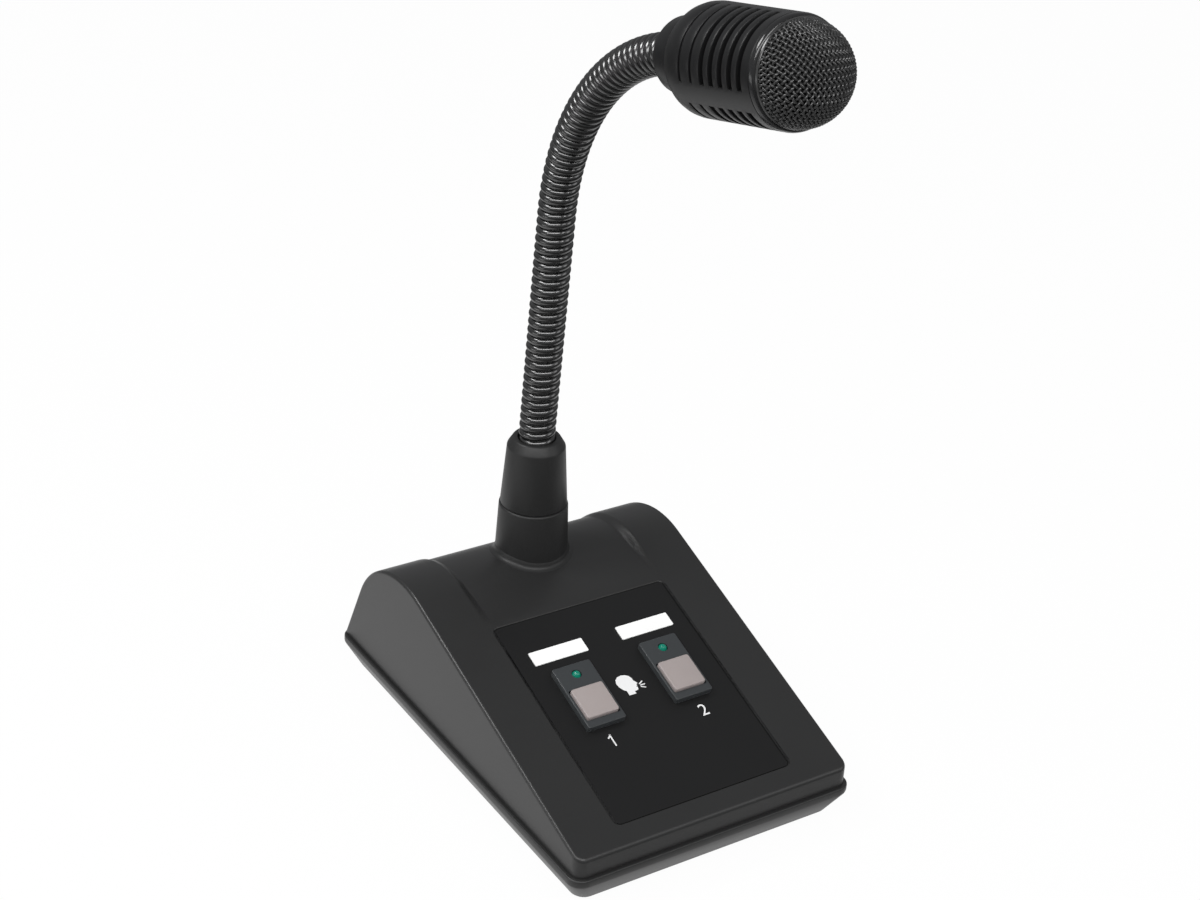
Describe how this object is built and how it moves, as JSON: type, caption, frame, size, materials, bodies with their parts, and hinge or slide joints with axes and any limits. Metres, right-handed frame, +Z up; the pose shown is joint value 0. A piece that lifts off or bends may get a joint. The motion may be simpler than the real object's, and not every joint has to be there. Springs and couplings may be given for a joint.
{
  "type": "paging microphone",
  "caption": "Desk paging microphone: sloped console with talk keys and lamps, a bending ribbed neck and a slotted round head with a mesh grille.",
  "frame": {"origin": "on the desk, under the middle of the object's outline", "axes": "+Z up, the panel and the head's grille look towards -Y, +X is the right seen from the front"},
  "size_m": [0.1064, 0.1724, 0.2775],
  "materials": {
    "case_plastic": "fine moulded grain",
    "boot_plastic": "fine moulded grain",
    "label_film": "satin film",
    "strip_white": "smooth",
    "frame_smoked": "smoked, glossy",
    "key_plastic": "smooth moulded",
    "lamp_lens": "tinted lens",
    "spacer_nylon": "plain",
    "foot_rubber": "plain",
    "weight_steel": "zinc plated",
    "screw_steel": "zinc plated",
    "board_laminate": "solder mask",
    "chip_plastic": "moulded",
    "capacitor_sleeve": "shrink sleeve",
    "socket_metal": "nickel plated",
    "insert_plastic": "moulded",
    "contact_brass": "plain",
    "bush_brass": "turned",
    "lead_jacket": "plain",
    "neck_steel": "satin black",
    "head_plastic": "fine moulded grain",
    "liner_cloth": "woven",
    "capsule_metal": "turned",
    "holder_rubber": "plain",
    "grille_wire": "satin black wire"
  },
  "bodies": {
    "base": {"base_tray": "case_plastic", "top_shell": "case_plastic", "boot_collar": "boot_plastic", "boot_sleeve": "boot_plastic", "panel_label": "label_film", "name_strip_1": "strip_white", "name_strip_2": "strip_white", "switch_frame_1": "frame_smoked", "switch_frame_2": "frame_smoked", "lamp_1": "lamp_lens", "lamp_2": "lamp_lens", "lamp_spacers": "spacer_nylon", "board_headers": "spacer_nylon", "rubber_feet": "foot_rubber", "weight_plate": "weight_steel", "neck_washer": "weight_steel", "neck_nut": "weight_steel", "case_screws": "screw_steel", "board_screws": "screw_steel", "socket_screws": "screw_steel", "control_board": "board_laminate", "preamp_chip": "chip_plastic", "key_switch_1": "chip_plastic", "key_switch_2": "chip_plastic", "capacitors": "capacitor_sleeve", "socket_shell": "socket_metal", "socket_insert": "insert_plastic", "socket_contacts": "contact_brass", "neck_bush": "bush_brass", "mic_lead_tail": "lead_jacket", "socket_wires": "lead_jacket", "lead_section_1": "lead_jacket", "neck_section_1": "neck_steel"},
    "talk_key_1": {"talk_key_1": "key_plastic"},
    "talk_key_2": {"talk_key_2": "key_plastic"},
    "neck_2": {"neck_section_2": "neck_steel", "lead_section_2": "lead_jacket"},
    "neck_3": {"neck_section_3": "neck_steel", "lead_section_3": "lead_jacket"},
    "neck_4": {"neck_section_4": "neck_steel", "lead_section_4": "lead_jacket"},
    "neck_5": {"neck_section_5": "neck_steel", "lead_section_5": "lead_jacket"},
    "neck_6": {"neck_section_6": "neck_steel", "lead_section_6": "lead_jacket"},
    "head": {"neck_section_7": "neck_steel", "lead_section_7": "lead_jacket", "head_collar": "head_plastic", "head_body": "head_plastic", "vent_liner": "liner_cloth", "capsule": "capsule_metal", "capsule_holder": "holder_rubber", "foam_plug": "liner_cloth", "grille": "grille_wire", "grille_ring": "head_plastic"}
  },
  "joints": [
    {"name": "neck_bend_1", "type": "hinge", "parent": "base", "child": "neck_2", "pos_m": [0, 0.04619, 0.11383], "axis": [1, 0, 0], "range_deg": [-30, 30], "deforming": ["neck_section_1", "lead_section_1", "neck_section_2", "lead_section_2"]},
    {"name": "neck_bend_2", "type": "hinge", "parent": "neck_2", "child": "neck_3", "pos_m": [0, 0.04436, 0.14368], "axis": [0, 0.9981, 0.061], "range_deg": [-30, 30], "deforming": ["neck_section_3", "lead_section_3"]},
    {"name": "neck_bend_3", "type": "hinge", "parent": "neck_3", "child": "neck_4", "pos_m": [0, 0.04254, 0.17352], "axis": [1, 0, 0], "range_deg": [-30, 25], "deforming": ["neck_section_4", "lead_section_4"]},
    {"name": "neck_bend_4", "type": "hinge", "parent": "neck_4", "child": "neck_5", "pos_m": [0, 0.03687, 0.20272], "axis": [0, 0.9302, 0.3672], "range_deg": [-30, 30], "deforming": ["neck_section_5", "lead_section_5"]},
    {"name": "neck_bend_5", "type": "hinge", "parent": "neck_5", "child": "neck_6", "pos_m": [0, 0.02094, 0.22781], "axis": [1, 0, 0], "range_deg": [-50, 10], "deforming": ["neck_section_6", "lead_section_6"]},
    {"name": "neck_bend_6", "type": "hinge", "parent": "neck_6", "child": "head", "pos_m": [0, -0.00315, 0.24522], "axis": [1, 0, 0], "range_deg": [-45, 10], "deforming": ["neck_section_7", "lead_section_7"]},
    {"name": "talk_key_1_press", "type": "slide", "parent": "base", "child": "talk_key_1", "axis": [0, 0.3156, -0.9489], "range_m": [0, 0.001], "stiffness_N_per_m": 1500, "springref_m": -0.0004},
    {"name": "talk_key_2_press", "type": "slide", "parent": "base", "child": "talk_key_2", "axis": [0, 0.3156, -0.9489], "range_m": [0, 0.001], "stiffness_N_per_m": 1500, "springref_m": -0.0004}
  ]
}
